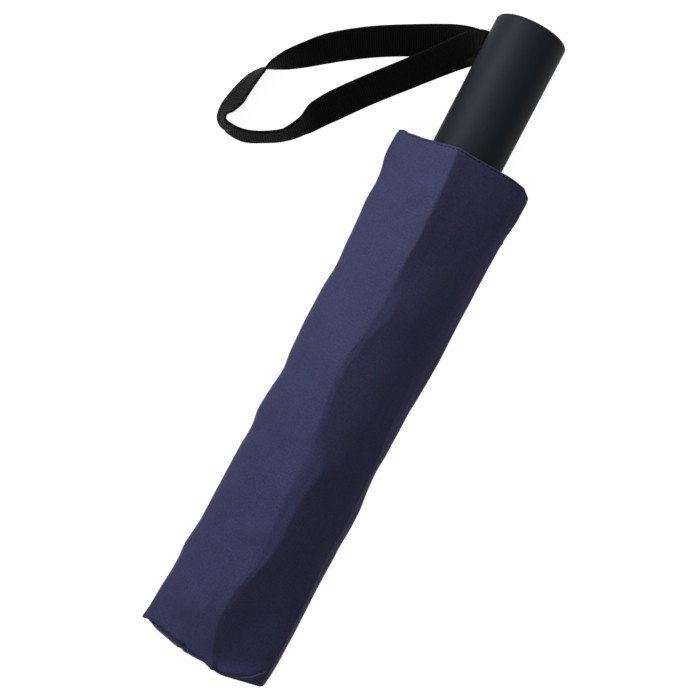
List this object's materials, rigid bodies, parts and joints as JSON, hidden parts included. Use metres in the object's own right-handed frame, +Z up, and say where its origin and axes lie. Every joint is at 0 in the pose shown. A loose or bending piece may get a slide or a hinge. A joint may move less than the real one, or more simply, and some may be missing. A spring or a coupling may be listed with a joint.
{
  "type": "folding umbrella",
  "caption": "Compact folding umbrella packed in a creased fabric sleeve, with a straight round handle and a flat webbing wrist strap.",
  "frame": {"origin": "on the surface that the umbrella lies on, below the middle of its length and width, the wrist strap left out", "axes": "+X along the shaft towards the butt of the handle, +Y to the side where the wrist strap lies, +Z up"},
  "size_m": [0.29, 0.135, 0.0474],
  "materials": {
    "navy_cloth": "plain woven, faint sheen",
    "black_handle": "smooth matt",
    "black_webbing": "ribbed webbing",
    "black_moulding": "moulded satin",
    "bright_steel": "bright plated",
    "black_steel": "black coated"
  },
  "bodies": {
    "sleeve": {"sleeve": "navy_cloth", "sleeve_base": "navy_cloth"},
    "canopy_frame": {"tube_outer": "bright_steel", "crown": "black_moulding", "crown_wire": "bright_steel", "top_cap": "black_moulding", "runner": "black_moulding", "runner_wire": "bright_steel", "runner_catch_pin": "bright_steel", "canopy": "navy_cloth", "tie_band": "navy_cloth", "tie_snap": "black_moulding", "rib_1_main": "black_steel", "rib_1_stretcher": "black_steel", "rib_1_middle": "black_steel", "rib_1_end": "black_steel", "rib_2_main": "black_steel", "rib_2_stretcher": "black_steel", "rib_2_middle": "black_steel", "rib_2_end": "black_steel", "rib_3_main": "black_steel", "rib_3_stretcher": "black_steel", "rib_3_middle": "black_steel", "rib_3_end": "black_steel", "rib_4_main": "black_steel", "rib_4_stretcher": "black_steel", "rib_4_middle": "black_steel", "rib_4_end": "black_steel", "rib_5_main": "black_steel", "rib_5_stretcher": "black_steel", "rib_5_middle": "black_steel", "rib_5_end": "black_steel", "rib_6_main": "black_steel", "rib_6_stretcher": "black_steel", "rib_6_middle": "black_steel", "rib_6_end": "black_steel", "rib_7_main": "black_steel", "rib_7_stretcher": "black_steel", "rib_7_middle": "black_steel", "rib_7_end": "black_steel", "rib_8_main": "black_steel", "rib_8_stretcher": "black_steel", "rib_8_middle": "black_steel", "rib_8_end": "black_steel"},
    "catch": {"runner_catch": "bright_steel"},
    "middle_tube": {"tube_middle": "bright_steel", "lock_button_upper": "bright_steel"},
    "handle": {"tube_inner": "bright_steel", "lock_button_lower": "bright_steel", "handle_shell": "black_handle", "handle_core": "black_moulding", "handle_cross_pin": "bright_steel", "handle_end_cap": "black_handle", "strap_pin": "bright_steel", "wrist_strap": "black_webbing"}
  },
  "joints": [
    {"name": "draw_from_sleeve", "type": "slide", "parent": "sleeve", "child": "canopy_frame", "axis": [1, 0, 0], "range_m": [0, 0.235]},
    {"name": "runner_catch_press", "type": "hinge", "parent": "canopy_frame", "child": "catch", "pos_m": [-0.05747, 0, 0.023], "axis": [0, -1, 0], "range_deg": [0, 7], "stiffness_Nm_per_rad": 0.05},
    {"name": "upper_tube_draw", "type": "slide", "parent": "canopy_frame", "child": "middle_tube", "axis": [1, 0, 0], "range_m": [0, 0.1115]},
    {"name": "lower_tube_draw", "type": "slide", "parent": "middle_tube", "child": "handle", "axis": [1, 0, 0], "range_m": [0, 0.099]}
  ]
}
